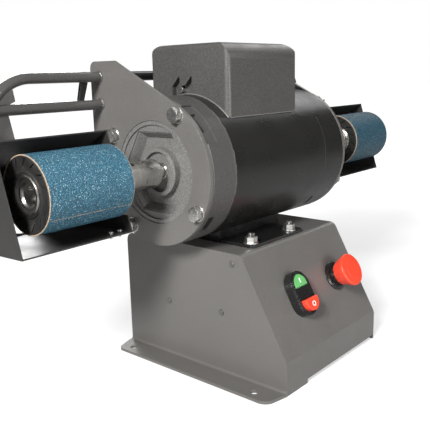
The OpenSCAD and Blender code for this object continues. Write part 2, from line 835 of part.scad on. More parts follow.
module abrasive_sleeve() {
    drum_turned() polygon([[rubber_r, 0], [drum_r, 0], [drum_r, drum_len], [rubber_r, drum_len]]);
}

module abrasive_sleeve_near() {
    color([0.25, 0.46, 0.56]) translate([-near_drum_x, 0, 0]) abrasive_sleeve();
}

module abrasive_sleeve_far() {
    color([0.25, 0.46, 0.56]) mirror([1, 0, 0]) translate([-far_drum_x, 0, 0]) abrasive_sleeve();
}

module hub_screws() {
    head = spindle_len + 3;
    color([0.12, 0.12, 0.12]) at_drums() difference() {
        union() {
            bar_x(-head - 8, -head, 7.5, fn = 48);
            bar_x(-head - 1, -head + 22, 3.98, fn = 24);
        }
        translate([-head - 9, 0, axis_z]) rotate([0, 90, 0]) cylinder(h = 5, r = 4, $fn = 6);
    }
}

// ---- controls ----
// opening for one button: the half stadium beyond the station's middle bridge
module button_half(sign, gap) {
    bridge = 7.5 - gap;
    intersection() {
        stadium(button_w + 2 * gap, station_len - 8 + 2 * gap);
        translate([-30, sign > 0 ? bridge : -60 - bridge]) square([60, 60]);
    }
}

module switch_housing() {
    on_slope(station_x, station_s) color([0.07, 0.07, 0.07]) difference() {
        union() {
            linear_extrude(station_h - 1.5) stadium(station_w, station_len);
            linear_extrude(station_h) stadium(station_w - 3, station_len - 3);
            translate([0, 0, -10]) linear_extrude(11) stadium(station_w - 6.6, station_len - 6.6);
        }
        for (s = [-1, 1]) translate([0, 0, -2]) linear_extrude(station_h + 3) button_half(s, 0.35);
        for (s = [-1, 1]) translate([0, 0, -11]) linear_extrude(10) translate([0, s * 14])
            circle(r = 5.5, $fn = small_fn);
    }
}

module push_button(sign, top) {
    on_slope(station_x, station_s) {
        translate([0, 0, 4]) linear_extrude(top - 4 - 1) button_half(sign, 0);
        translate([0, 0, top - 1 - eps]) linear_extrude(1 + eps) button_half(sign, -0.8);
        translate([0, sign * 14, -12]) cylinder(h = 17, r = 5, $fn = small_fn);
    }
}

module start_button() {
    color([0.38, 0.65, 0.38]) push_button(1, station_h);
}

module stop_button() {
    color([0.9, 0.28, 0.2]) push_button(-1, station_h + 6);
}

module switch_block() {
    color([0.15, 0.15, 0.16]) on_slope(station_x, station_s)
        translate([-12, -22, -46]) cube([24, 44, 30]);
}

module on_estop() {
    on_slope(estop_x, estop_s) children();
}

// tapered flange on the panel, neck inside the head's skirt and threaded barrel below the panel
module estop_collar() {
    flange_r = 18.3;
    taper_top = 4.2;
    inner_neck_r = estop_neck_r - 1.6;
    color([0.06, 0.06, 0.06]) on_estop() {
        rotate_extrude($fn = 64)
            polygon([[7, 0], [flange_r, 0], [flange_r, 1.4], [flange_r - 0.8, 2],
                [inner_neck_r + 0.6, taper_top], [inner_neck_r, taper_top],
                [inner_neck_r, estop_neck_h + 2], [7, estop_neck_h + 2]]);
        rotate_extrude($fn = 64) polygon([[7, -22], [11, -22], [11, eps], [7, eps]]);
    }
}

module estop_nut() {
    nut_h = 5;
    color([0.1, 0.1, 0.1]) on_estop() translate([0, 0, -sheet - nut_h]) difference() {
        cylinder(h = nut_h, r = 16, $fn = 6);
        translate([0, 0, -1]) cylinder(h = nut_h + 2, r = 11.02, $fn = 64);
    }
}

module estop_plunger() {
    color([0.2, 0.2, 0.2]) on_estop() rotate_extrude($fn = 48)
        polygon([[0, -24], [6.95, -24], [6.95, 8], [5, 8], [5, stem_top], [0, stem_top]]);
}

// mushroom head: hollow fluted cone, rounded rim and a slightly crowned face
module estop_head() {
    flute_count = 16;
    flute_r = 1.5;
    lip_r = 2;
    skirt_roof = estop_neck_h + 7.5;
    cone_top = estop_rim_h - 1;
    cone_r = estop_head_r - 0.6;
    cone_deg = atan2(cone_r - estop_neck_r, cone_top - estop_neck_h);
    bore_r = estop_neck_r - 1.1;
    color([0.9, 0.28, 0.2]) on_estop() difference() {
        rotate_extrude($fn = 64) polygon(concat(
            [[bore_r, estop_neck_h], [estop_neck_r, estop_neck_h], [cone_r, cone_top]],
            [for (a = [0:15:90])
                [estop_head_r - lip_r + lip_r * cos(a), estop_rim_h + 2 + lip_r * sin(a)]],
            [[12, estop_top_h - 0.5], [11, estop_top_h], [0, estop_top_h], [0, stem_top + 0.05],
                [5.05, stem_top + 0.05], [5.05, skirt_roof], [bore_r, skirt_roof]]));
        for (i = [0:flute_count - 1]) rotate(i * 360 / flute_count)
            translate([estop_neck_r, 0, estop_neck_h]) rotate([0, cone_deg, 0])
                translate([flute_r - 0.5, 0, -3]) cylinder(h = 15, r = flute_r, $fn = 16);
    }
}

module estop_contact_block() {
    color([0.75, 0.72, 0.6]) on_estop()
        translate([-15, -20, -54]) cube([30, 40, 24]);
}

module cable_gland() {
    color([0.08, 0.08, 0.08]) translate([40, back_y, 40]) rotate([90, 0, 0]) difference() {
        union() {
            translate([0, 0, -9]) hex_prism(24, 6);
            translate([0, 0, -3]) cylinder(h = 3, r = 13, $fn = 48);
            cylinder(h = 12, r = 10, $fn = 48);
            translate([0, 0, -14]) cylinder(h = 6, r = 9, $fn = 48);
            translate([0, 0, sheet]) hex_prism(25, 4);
        }
        translate([0, 0, -15]) cylinder(h = 30, r = 5, $fn = 32);
    }
}

pedestal_wrap();
side_plate_near();
side_plate_far();
bottom_plate();
side_screws();
motor_foot();
foot_bolts();
foot_washers();
foot_nuts();
stator_shell();
end_bell_near();
end_bell_far();
stator_core();
windings();
rotor();
motor_shaft();
bearing_outer_rings();
bearing_balls();
bearing_inner_rings();
governor_disc();
start_contact_plate();
capacitor_box();
capacitor_box_screw();
capacitors();
bracket_plate_near();
bracket_plate_far();
face_washers();
face_bolts();
tie_rod();
rail_upper_near();
rail_lower_near();
rail_upper_far();
rail_lower_far();
rail_braces();
hood_supports();
hood_near();
hood_far();
dust_spigots();
hood_screws();
arbor_near();
arbor_far();
arbor_set_screws();
drum_hubs();
drum_rubber_near();
drum_rubber_far();
abrasive_sleeve_near();
abrasive_sleeve_far();
hub_screws();
switch_housing();
start_button();
stop_button();
switch_block();
estop_collar();
estop_nut();
estop_plunger();
estop_head();
estop_contact_block();
cable_gland();
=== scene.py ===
import json
import math

import bmesh
import bpy
from mathutils import Matrix, Vector


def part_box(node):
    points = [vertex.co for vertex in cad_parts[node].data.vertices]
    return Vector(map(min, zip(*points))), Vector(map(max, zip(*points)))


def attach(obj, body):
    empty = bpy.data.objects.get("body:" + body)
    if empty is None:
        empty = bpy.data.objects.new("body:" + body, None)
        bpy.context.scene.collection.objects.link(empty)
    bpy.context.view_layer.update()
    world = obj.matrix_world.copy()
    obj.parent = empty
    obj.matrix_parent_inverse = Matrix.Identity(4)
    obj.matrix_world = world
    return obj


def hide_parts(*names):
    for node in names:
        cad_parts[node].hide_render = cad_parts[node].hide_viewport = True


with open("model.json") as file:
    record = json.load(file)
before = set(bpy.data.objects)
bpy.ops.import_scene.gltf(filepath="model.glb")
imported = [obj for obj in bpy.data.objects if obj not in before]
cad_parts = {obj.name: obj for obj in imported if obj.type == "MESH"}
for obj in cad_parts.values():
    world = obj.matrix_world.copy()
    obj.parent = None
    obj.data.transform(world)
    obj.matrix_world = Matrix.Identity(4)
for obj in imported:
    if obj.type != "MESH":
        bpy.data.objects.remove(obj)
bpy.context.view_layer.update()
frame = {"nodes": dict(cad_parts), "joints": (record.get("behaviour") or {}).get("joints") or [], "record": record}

MM = 0.001


def centre(node):
    low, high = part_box(node)
    return (low + high) / 2


# ---- places and directions, mostly taken from the frame ----
AXIS_Z = centre("motor_shaft").z
SHAFT = Vector((0, 0, AXIS_Z))
SLEEVE_NEAR_X = [corner.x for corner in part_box("abrasive_sleeve_near")]
SLEEVE_FAR_X = [corner.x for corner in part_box("abrasive_sleeve_far")]
FAR_JOINT_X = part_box("stator_shell")[1].x
SEAM_ANGLE = math.radians(34)
PILOT_R = 0.0574
JOINT_HALF, JOINT_WEAR_AND_HIGHLIGHT = 0.0003, (0.13, 0.125, 0.12)
PANEL_OUT = -Vector(next(j for j in frame["joints"] if j["name"] == "start_push")["axis"])


# ---- camera and stage ----
CAMERA_FROM_SHAFT = Vector((-0.6196, -0.508, 0.1042))
CAMERA_YAW, CAMERA_PITCH = math.radians(41.05), math.radians(-12.43)
CAMERA_ROLL = -0.025
CAMERA_LENS, CAMERA_SENSOR = 53.28, 36
DOME_TOWARD = (-0.80, -0.30, 0.52)
DOME_LOW, DOME_HIGH = 0.02, 0.16
FLOOR_GLOW = (0.6, 1.15)
FLOOR_HALF = 14.0
LAMPS = (("key", (-1.95, -0.62, 1.35), (0.45, 0.5), 90),
         ("front", (-0.1, -2.2, 0.65), (0.9, 0.7), 30),
         ("ceiling", (1.5, 0.25, 1.6), (1.0, 1.0), 10),
         ("back", (1.0, 2.2, 1.0), (0.9, 0.9), 26))


def make_camera():
    """The photo's viewpoint: beyond the near drum, on the operator's side and slightly tilted."""
    along = math.cos(CAMERA_PITCH)
    forward = Vector((along * math.cos(CAMERA_YAW), along * math.sin(CAMERA_YAW), math.sin(CAMERA_PITCH)))
    level = Vector((math.sin(CAMERA_YAW), -math.cos(CAMERA_YAW), 0))
    upright = level.cross(forward)
    right = level * math.cos(CAMERA_ROLL) + upright * math.sin(CAMERA_ROLL)
    up = upright * math.cos(CAMERA_ROLL) - level * math.sin(CAMERA_ROLL)
    data = bpy.data.cameras.new("camera")
    data.sensor_width = CAMERA_SENSOR
    data.lens = CAMERA_LENS
    data.clip_start = 0.01
    camera = bpy.data.objects.new("camera", data)
    bpy.context.scene.collection.objects.link(camera)
    turn = Matrix((right, up, -forward)).transposed().to_4x4()
    camera.matrix_world = Matrix.Translation(SHAFT + CAMERA_FROM_SHAFT) @ turn
    bpy.context.scene.camera = camera


def area_light(name, place_at, target, size, power):
    data = bpy.data.lights.new(name, "AREA")
    data.shape = "RECTANGLE"
    data.size, data.size_y = size
    data.energy = power
    light = bpy.data.objects.new(name, data)
    bpy.context.scene.collection.objects.link(light)
    light.location = place_at
    light.rotation_euler = (target - Vector(place_at)).to_track_quat("-Z", "Y").to_euler()


def studio_world():
    """White to the camera; to the machine, a soft dome that is brightest from the front left."""
    world = bpy.data.worlds.new("studio")
    world.use_nodes = True
    tree = world.node_tree
    background = tree.nodes["Background"]
    coords = tree.nodes.new("ShaderNodeTexCoord")
    toward = tree.nodes.new("ShaderNodeVectorMath")
    toward.operation = "DOT_PRODUCT"
    toward.inputs[1].default_value = DOME_TOWARD
    tree.links.new(coords.outputs["Generated"], toward.inputs[0])
    dome = step_at(tree, toward.outputs["Value"], -0.7, 1.0, DOME_LOW, DOME_HIGH)
    ray = tree.nodes.new("ShaderNodeLightPath")
    seen = tree.nodes.new("ShaderNodeMix")
    tree.links.new(ray.outputs["Is Camera Ray"], seen.inputs["Factor"])
    tree.links.new(dome, seen.inputs["A"])
    seen.inputs["B"].default_value = 1.0
    tree.links.new(seen.outputs["Result"], background.inputs["Strength"])
    background.inputs["Color"].default_value = (1, 1, 1, 1)
    bpy.context.scene.world = world
    bpy.context.scene.view_settings.view_transform = "Standard"


def make_stage():
    """Pale floor under the machine, the white world round it and the lamps."""
    studio_world()
    bm = bmesh.new()
    for x, y in ((-1, -1), (1, -1), (1, 1), (-1, 1)):
        bm.verts.new((x * FLOOR_HALF, y * FLOOR_HALF, 0))
    bm.faces.new(bm.verts)
    floor = finish_mesh("floor", bm)
    floor.data.materials.append(pale_floor())
    for name, place_at, size, power in LAMPS:
        area_light(name, place_at, SHAFT, size, power)


# ---- node materials ----
def shader(name):
    mat = bpy.data.materials.new(name)
    mat.use_nodes = True
    tree = mat.node_tree
    return mat, tree, tree.nodes["Principled BSDF"]


def add(tree, kind, **inputs):
    node = tree.nodes.new(kind)
    for socket, value in inputs.items():
        node.inputs[socket].default_value = value
    return node


def object_coordinates(tree):
    return tree.nodes.new("ShaderNodeTexCoord").outputs["Object"]


def noise_field(tree, scale, detail=3.0, roughness=0.55, stretch=None):
    field = add(tree, "ShaderNodeTexNoise", Scale=scale, Detail=detail, Roughness=roughness)
    source = object_coordinates(tree)
    if stretch:
        mapping = tree.nodes.new("ShaderNodeMapping")
        mapping.inputs["Scale"].default_value = stretch
        tree.links.new(source, mapping.inputs["Vector"])
        source = mapping.outputs["Vector"]
    tree.links.new(source, field.inputs["Vector"])
    return field.outputs["Fac"]


def ramp(tree, source, stops):
    node = tree.nodes.new("ShaderNodeValToRGB")
    band = node.color_ramp
    while len(band.elements) < len(stops):
        band.elements.new(0.5)
    for element, (place, colour) in zip(band.elements, stops):
        element.position = place
        element.color = (*colour, 1)
    tree.links.new(source, node.inputs["Fac"])
    return node.outputs["Color"]


def grey(value):
    return (value, value, value)


def blend_colours(tree, factor, a, b):
    """Colour a where the factor is 0 and b where it is 1; each may be a socket or a value."""
    node = tree.nodes.new("ShaderNodeMix")
    node.data_type = "RGBA"
    for socket, value in ((node.inputs["Factor"], factor), (node.inputs["A"], a),
                          (node.inputs["B"], b)):
        if isinstance(value, bpy.types.NodeSocket):
            tree.links.new(value, socket)
        elif isinstance(value, (int, float)):
            socket.default_value = value
        else:
            socket.default_value = (*value, 1)
    return node.outputs["Result"]


def bump(tree, bsdf, layers):
    """Stacks height fields, each with its strength and its depth in metres."""
    previous = None
    for field, strength, depth in layers:
        node = add(tree, "ShaderNodeBump", Strength=strength, Distance=depth)
        tree.links.new(field, node.inputs["Height"])
        if previous:
            tree.links.new(previous, node.inputs["Normal"])
        previous = node.outputs["Normal"]
    tree.links.new(previous, bsdf.inputs["Normal"])


def maths(tree, operation, a, b=0.0):
    node = tree.nodes.new("ShaderNodeMath")
    node.operation = operation
    for socket, value in zip(node.inputs, (a, b)):
        if isinstance(value, bpy.types.NodeSocket):
            tree.links.new(value, socket)
        else:
            socket.default_value = value
    return node.outputs["Value"]


def step_at(tree, value, low, high, below=0.0, above=1.0):
    """Runs from below, where the value is under low, to above, where it is over high."""
    node = tree.nodes.new("ShaderNodeMapRange")
    tree.links.new(value, node.inputs["Value"])
    for socket, level in zip(("From Min", "From Max", "To Min", "To Max"), (low, high, below, above)):
        node.inputs[socket].default_value = level
    return node.outputs["Result"]


def from_axis(tree):
    """Distance from the motor axis, and the separate coordinates with z taken from the axis."""
    split = tree.nodes.new("ShaderNodeSeparateXYZ")
    tree.links.new(object_coordinates(tree), split.inputs["Vector"])
    height = maths(tree, "SUBTRACT", split.outputs["Z"], AXIS_Z)
    y = split.outputs["Y"]
    radius = maths(tree, "SQRT", maths(tree, "ADD", maths(tree, "MULTIPLY", y, y),
                                       maths(tree, "MULTIPLY", height, height)))
    return split.outputs["X"], y, height, radius


def shade(colour, factor):
    return tuple(min(1.0, c * factor) for c in colour)


def painted(tree, colour, fleck, grain):
    """Flecked paint colour with a slow drift in tone, and the fleck field."""
    flecks = noise_field(tree, grain, 2.0, 0.7)
    base = ramp(tree, flecks, [(0.30, shade(colour, 1 - fleck)), (0.52, colour),
                               (0.74, shade(colour, 1 + fleck * 1.6))])
    drift = noise_field(tree, 9, 3.0)
    drifted = ramp(tree, drift, [(0.3, shade(colour, 0.86)), (0.7, shade(colour, 1.12))])
    return blend_colours(tree, 0.30, base, drifted), flecks


def powder_coat(name, colour, rough=0.42, fleck=0.16, grain=900, peel=0.25, metal=0.25, shine=0.5,
                collar=None):
    """Stoved metallic paint: fine flecks, orange peel and drifted gloss.

    A collar is another paint and the X of the ragged line where it ends; with it comes a light
    line round the shell's far joint: worn paint and a painted highlight of the joint's edge.
    """
    mat, tree, bsdf = shader(name)
    base, flecks = painted(tree, colour, fleck, grain)
    if collar:
        paint, x_line = collar
        other, _ = painted(tree, paint, 0.2, 700)
        x = from_axis(tree)[0]
        ragged = maths(tree, "ADD", x, maths(tree, "MULTIPLY", noise_field(tree, 130, 4.0), 0.006))
        base = blend_colours(tree, step_at(tree, ragged, x_line, x_line + 0.0004), other, base)
        # Light grey line at the far joint: worn paint and a painted highlight of the joint's edge.
        off_joint = maths(tree, "ABSOLUTE", maths(tree, "SUBTRACT", x, FAR_JOINT_X - JOINT_HALF))
        joint_wear_and_highlight = maths(tree, "LESS_THAN", off_joint, JOINT_HALF)
        base = blend_colours(tree, joint_wear_and_highlight, base, JOINT_WEAR_AND_HIGHLIGHT)
    tree.links.new(base, bsdf.inputs["Base Color"])
    dull = [(0.3, grey(rough - 0.06)), (0.7, grey(rough + 0.08))]
    gloss = ramp(tree, noise_field(tree, 34, 4.0), dull)
    tree.links.new(gloss, bsdf.inputs["Roughness"])
    bsdf.inputs["Metallic"].default_value = metal
    bsdf.inputs["Specular IOR Level"].default_value = shine
    bump(tree, bsdf, [(noise_field(tree, 420, 2.0), peel, 0.0002), (flecks, 0.3, 0.00006)])
    return mat


def cast_metal(name, bare, paint):
    """Cast end bell: bright machined and cast metal inside the pilot, grey paint outside it."""
    mat, tree, bsdf = shader(name)
    pits = noise_field(tree, 620, 4.0, 0.7)
    face = ramp(tree, pits, [(0.30, shade(bare, 0.55)), (0.5, bare), (0.70, shade(bare, 1.5))])
    coat, _ = painted(tree, paint, 0.22, 620)
    radius = from_axis(tree)[3]
    outside = step_at(tree, radius, PILOT_R, PILOT_R + 0.001)
    tree.links.new(blend_colours(tree, outside, face, coat), bsdf.inputs["Base Color"])
    bsdf.inputs["Metallic"].default_value = 0.35
    tree.links.new(ramp(tree, pits, [(0.3, grey(0.6)), (0.7, grey(0.38))]), bsdf.inputs["Roughness"])
    bump(tree, bsdf, [(noise_field(tree, 160, 3.0), 0.3, 0.0004), (pits, 0.45, 0.0002)])
    return mat


def turned_steel(name, colour, rough=0.26):
    """Lathe-turned steel: fine rings across the X axis, smears of oil."""
    mat, tree, bsdf = shader(name)
    rings = noise_field(tree, 900, 2.0, 0.6, stretch=(1, 0.02, 0.02))
    ringed = ramp(tree, rings, [(0.3, shade(colour, 0.8)), (0.7, shade(colour, 1.12))])
    smear = noise_field(tree, 60, 4.0)
    smeared = ramp(tree, smear, [(0.35, shade(colour, 0.9)), (0.65, colour)])
    tree.links.new(blend_colours(tree, 0.3, ringed, smeared), bsdf.inputs["Base Color"])
    bsdf.inputs["Metallic"].default_value = 1.0
    tree.links.new(ramp(tree, smear, [(0.3, grey(rough)), (0.75, grey(rough + 0.08))]),
                   bsdf.inputs["Roughness"])
    return mat


def zinc_plate(name, pitch=0.0):
    """Zinc plating with a faint spangle; a pitch adds screw threads along Z."""
    mat, tree, bsdf = shader(name)
    patches = add(tree, "ShaderNodeTexVoronoi", Scale=420.0)
    tree.links.new(object_coordinates(tree), patches.inputs["Vector"])
    tones = [(0.0, (0.50, 0.49, 0.46)), (0.6, (0.72, 0.71, 0.685))]
    base = ramp(tree, patches.outputs["Distance"], tones)
    tree.links.new(base, bsdf.inputs["Base Color"])
    bsdf.inputs["Metallic"].default_value = 1.0
    tree.links.new(ramp(tree, noise_field(tree, 500), [(0.3, grey(0.24)), (0.7, grey(0.36))]),
                   bsdf.inputs["Roughness"])
    layers = [(noise_field(tree, 700), 0.12, 0.0001)]
    if pitch:
        height = from_axis(tree)[2]
        layers.append((maths(tree, "PINGPONG", height, pitch / 2), 1.0, 1.0))
    bump(tree, bsdf, layers)
    return mat


def moulded_rubber(name):
    """Black rubber with sanding dust in its pores."""
    mat, tree, bsdf = shader(name)
    dust = noise_field(tree, 90, 5.0, 0.65)
    base = ramp(tree, dust, [(0.35, (0.009, 0.009, 0.009)), (0.6, (0.016, 0.015, 0.014)),
                             (0.8, (0.05, 0.048, 0.045))])
    tree.links.new(base, bsdf.inputs["Base Color"])
    tree.links.new(ramp(tree, dust, [(0.3, grey(0.5)), (0.8, grey(0.8))]), bsdf.inputs["Roughness"])
    bump(tree, bsdf, [(noise_field(tree, 900, 3.0), 0.3, 0.0002)])
    return mat


def moulded_plastic(name, colour, rough=0.32):
    """Slightly uneven gloss plastic with a fine moulded grain."""
    mat, tree, bsdf = shader(name)
    drift = noise_field(tree, 60, 3.0)
    base = ramp(tree, drift, [(0.3, shade(colour, 0.88)), (0.7, shade(colour, 1.08))])
    tree.links.new(base, bsdf.inputs["Base Color"])
    tree.links.new(ramp(tree, noise_field(tree, 240), [(0.3, grey(rough)), (0.7, grey(rough + 0.12))]),
                   bsdf.inputs["Roughness"])
    bump(tree, bsdf, [(noise_field(tree, 1500, 2.0), 0.08, 0.0001)])
    return mat


def cloth_tone(tree):
    """Tan backing cloth of the abrasive."""
    threads = noise_field(tree, 1800, 4.0, 0.7)
    return ramp(tree, threads, [(0.3, (0.20, 0.14, 0.085)), (0.7, (0.56, 0.44, 0.32))])


def abrasive_grit(name, ends, tone_and_shade, seam_half):
    """Blue zirconia grit with pale glints, frayed tan edges at both ends and a zigzag seam.

    A sleeve whose seam is out of sight has a seam_half of 0. The grit's colour is scaled by the given tone; the
    far sleeve's low tone is painted shade.
    """
    mat, tree, bsdf = shader(name)
    grains = add(tree, "ShaderNodeTexVoronoi", Scale=980.0, Randomness=1.0)
    tree.links.new(object_coordinates(tree), grains.inputs["Vector"])
    split = tree.nodes.new("ShaderNodeSeparateColor")
    tree.links.new(grains.outputs["Color"], split.inputs["Color"])
    stops = [(0.0, (0.018, 0.078, 0.125)), (0.35, (0.036, 0.145, 0.220)),
             (0.75, (0.056, 0.205, 0.300)), (0.90, (0.11, 0.31, 0.41)), (1.0, (0.50, 0.72, 0.78))]
    grit = ramp(tree, split.outputs["Red"], [(place_at, shade(c, tone_and_shade)) for place_at, c in stops])
    resin = ramp(tree, grains.outputs["Distance"], [(0.25, grey(0)), (0.75, grey(1))])
    grit = blend_colours(tree, resin, grit, shade((0.022, 0.082, 0.125), tone_and_shade))
    x, y, height, _ = from_axis(tree)
    rough_edge = noise_field(tree, 520, 3.0)
    middle = (ends[0] + ends[1]) / 2
    half = (ends[1] - ends[0]) / 2
    off_middle = maths(tree, "ABSOLUTE", maths(tree, "SUBTRACT", x, middle))
    frayed = maths(tree, "ADD", off_middle, maths(tree, "MULTIPLY", rough_edge, 0.0016))
    at_end = step_at(tree, frayed, half - 0.0001, half + 0.0002)
    zigzag = maths(tree, "MULTIPLY", maths(tree, "PINGPONG", x, 0.0022), 0.55)
    along = maths(tree, "ADD", maths(tree, "MULTIPLY", height, math.cos(SEAM_ANGLE)),
                  maths(tree, "MULTIPLY", y, -math.sin(SEAM_ANGLE)))
    front = maths(tree, "LESS_THAN", y, 0.0)
    off_seam = maths(tree, "ABSOLUTE", maths(tree, "SUBTRACT", along, zigzag))
    at_seam = maths(tree, "MULTIPLY", maths(tree, "LESS_THAN", off_seam, seam_half), front)
    torn = maths(tree, "MULTIPLY", at_seam, maths(tree, "GREATER_THAN", rough_edge, 0.42))
    cloth = maths(tree, "MAXIMUM", at_end, torn)
    tree.links.new(blend_colours(tree, cloth, grit, cloth_tone(tree)), bsdf.inputs["Base Color"])
    dull = [(0.0, grey(0.62)), (0.8, grey(0.4)), (1.0, grey(0.12))]
    tree.links.new(ramp(tree, split.outputs["Green"], dull), bsdf.inputs["Roughness"])
    height_field = ramp(tree, grains.outputs["Distance"], [(0.0, grey(1)), (0.8, grey(0))])
    bump(tree, bsdf, [(height_field, 0.8, 0.0005), (noise_field(tree, 2400, 2.0), 0.4, 0.0002)])
    return mat


def pale_floor():
    """Pale floor whose glow, seen by the camera alone, grows with distance into the white world."""
    mat, tree, bsdf = shader("floor_paint")
    patches = noise_field(tree, 4, 3.0)
    tree.links.new(ramp(tree, patches, [(0.3, grey(0.42)), (0.7, grey(0.46))]), bsdf.inputs["Base Color"])
    bsdf.inputs["Roughness"].default_value = 0.8
    pale = ramp(tree, patches, [(0.3, grey(0.86)), (0.7, grey(0.90))])
    tree.links.new(pale, bsdf.inputs["Emission Color"])
    reach = tree.nodes.new("ShaderNodeVectorMath")
    reach.operation = "LENGTH"
    tree.links.new(object_coordinates(tree), reach.inputs[0])
    glow = step_at(tree, reach.outputs["Value"], 0.5, 2.2, *FLOOR_GLOW)
    seen = tree.nodes.new("ShaderNodeLightPath").outputs["Is Camera Ray"]
    tree.links.new(maths(tree, "MULTIPLY", glow, seen), bsdf.inputs["Emission Strength"])
    return mat


SKIRT_GREY = (0.088, 0.085, 0.081)
SKIRT_END_X = -0.0912
MATERIALS = {
    "panel_paint": powder_coat("panel_paint", (0.150, 0.143, 0.135), rough=0.36),
    # Lighter paint for the rounded edges of the panels: painted highlight.
    "panel_edge_highlight": powder_coat("panel_edge_highlight", (0.36, 0.35, 0.335), rough=0.30, metal=0.4),
    "rail_paint": powder_coat("rail_paint", (0.090, 0.087, 0.083), rough=0.22, fleck=0.06, peel=0.08),
    "motor_paint": powder_coat("motor_paint", (0.0155, 0.015, 0.0145), rough=0.30, fleck=0.10,
                               metal=0.0, shine=0.42),
    "shell_paint": powder_coat("shell_paint", (0.0155, 0.015, 0.0145), rough=0.30, fleck=0.10,
                               metal=0.0, shine=0.42, collar=(SKIRT_GREY, SKIRT_END_X)),
    "cast_paint": cast_metal("cast_paint", (0.19, 0.186, 0.178), SKIRT_GREY),
    # Lighter paint for the rounded edges of the cast bell: painted highlight.
    "cast_edge_highlight": powder_coat("cast_edge_highlight", (0.42, 0.41, 0.395), rough=0.4, metal=0.4),
    "box_paint": powder_coat("box_paint", (0.084, 0.081, 0.077), rough=0.44, fleck=0.40, grain=620),
    # Lighter paint for the rounded edges of the capacitor box: painted highlight.
    "box_edge_highlight": powder_coat("box_edge_highlight", (0.26, 0.255, 0.245), rough=0.36, fleck=0.2),
    "black_paint": powder_coat("black_paint", (0.011, 0.011, 0.011), rough=0.26, fleck=0.1, metal=0.0),
    "hood_paint": powder_coat("hood_paint", (0.028, 0.027, 0.026), rough=0.42, fleck=0.12, metal=0.1),
    # Lighter paints for the rounded edges of the hoods and the black foot: painted highlights.
    "hood_edge_highlight": powder_coat("hood_edge_highlight", (0.16, 0.155, 0.15), rough=0.36, fleck=0.1, metal=0.2),
    "black_edge_highlight": powder_coat("black_edge_highlight", (0.11, 0.108, 0.104), rough=0.3, fleck=0.1),
    "zinc": zinc_plate("zinc"),
    "threaded_zinc": zinc_plate("threaded_zinc", 0.0015),
    "dull_zinc": powder_coat("dull_zinc", (0.20, 0.195, 0.185), rough=0.4, metal=0.8),
    "turned_steel": turned_steel("turned_steel", (0.66, 0.645, 0.615)),
    "dark_steel": turned_steel("dark_steel", (0.09, 0.088, 0.085), rough=0.35),
    "rubber": moulded_rubber("rubber"),
    "grit_near": abrasive_grit("grit_near", SLEEVE_NEAR_X, 0.88, seam_half=0.00042),
    # The far sleeve is the near sleeve's grit darkened to tone 0.5: painted shade where the motor shades it.
    "grit_far_painted_shade": abrasive_grit("grit_far_painted_shade", SLEEVE_FAR_X, 0.5, seam_half=0.0),
    "black_plastic": moulded_plastic("black_plastic", (0.012, 0.012, 0.012), rough=0.22),
    "green_plastic": moulded_plastic("green_plastic", (0.12, 0.40, 0.13)),
    "red_plastic": moulded_plastic("red_plastic", (0.78, 0.060, 0.028), rough=0.28),
    "laminations": turned_steel("laminations", (0.32, 0.32, 0.34), rough=0.45),
    "copper": turned_steel("copper", (0.60, 0.28, 0.13), rough=0.35),
    "can": turned_steel("can", (0.55, 0.55, 0.56), rough=0.35),
    "bakelite": moulded_plastic("bakelite", (0.20, 0.09, 0.04)),
    "cream_plastic": moulded_plastic("cream_plastic", (0.62, 0.58, 0.46)),
    # Light grey for the box lip: painted highlight.
    "lip_highlight": powder_coat("lip_highlight", (0.26, 0.255, 0.245), rough=0.32, metal=0.5),
    "icon_white": moulded_plastic("icon_white", (0.80, 0.80, 0.77)),
}
SLOT_OF = {s["node"]: s["material_slot"] for s in frame["record"]["subparts"]}
BODY_OF = {node: body for body, members in frame["record"]["behaviour"]["bodies"].items()
           for node in members}


# ---- mesh tools ----
FLAT_AREA = 60e-6
SAME_NORMAL = 0.99998
MINOR_SHARE = 8
HARD_EDGE_DEG = 30
EDGE_SEGMENTS = 2


def flat_areas(bm):
    """Area of the flat region that each face belongs to."""
    area = {}
    for start in bm.faces:
        if start in area:
            continue
        region, queue = [start], [start]
        area[start] = 0
        while queue:
            face = queue.pop()
            for edge in face.edges:
                for other in edge.link_faces:
                    if other not in area and other.normal.dot(start.normal) > SAME_NORMAL:
                        area[other] = 0
                        region.append(other)
                        queue.append(other)
        total = sum(face.calc_area() for face in region)
        for face in region:
            area[face] = total
    return area


def corner_normal(loop, strips, limit, area):
    """Normal of one face corner: rounded edges take the normal of the faces beside them.

    Faces that belong to a much smaller region than the largest one there don't count.
    """
    around = list(loop.vert.link_faces)
    main = [f for f in around if f not in strips]
    if loop.face in strips:
        chosen = main or around
    else:
        chosen = [f for f in main if loop.face.normal.dot(f.normal) > limit] or [loop.face]
    largest = max(area[f] for f in chosen)
    total = Vector((0, 0, 0))
    for other in chosen:
        if area[other] * MINOR_SHARE < largest:
            continue
        corner = next(c for c in other.loops if c.vert == loop.vert)
        total += other.normal * max(corner.calc_angle(), 0.01)
    return total.normalized() if total.length > 1e-9 else loop.face.normal.copy()


def level_corners(bm, normals, strips, area):
    """At a rounded edge all corners of a vertex take the normal of the largest face there."""
    for vert in bm.verts:
        if any(loop.face in strips for loop in vert.link_loops):
            chosen = normals[max(vert.link_loops, key=lambda c: area[c.face])]
            for loop in vert.link_loops:
                normals[loop] = chosen


def split_creases(bm, normals):
    """Points and faces of the mesh, with a point repeated where the normals of its corners differ."""
    points, faces, known = [], [], {}
    for face in bm.faces:
        ring = []
        for loop in face.loops:
            twins = known.setdefault(loop.vert, [])
            match = [index for index, normal in twins if normal.dot(normals[loop]) > SAME_NORMAL]
            if not match:
                match = [len(points)]
                twins.append((len(points), normals[loop]))
                points.append(loop.vert.co.copy())
            ring.append(match[0])
        faces.append(ring)
    return points, faces


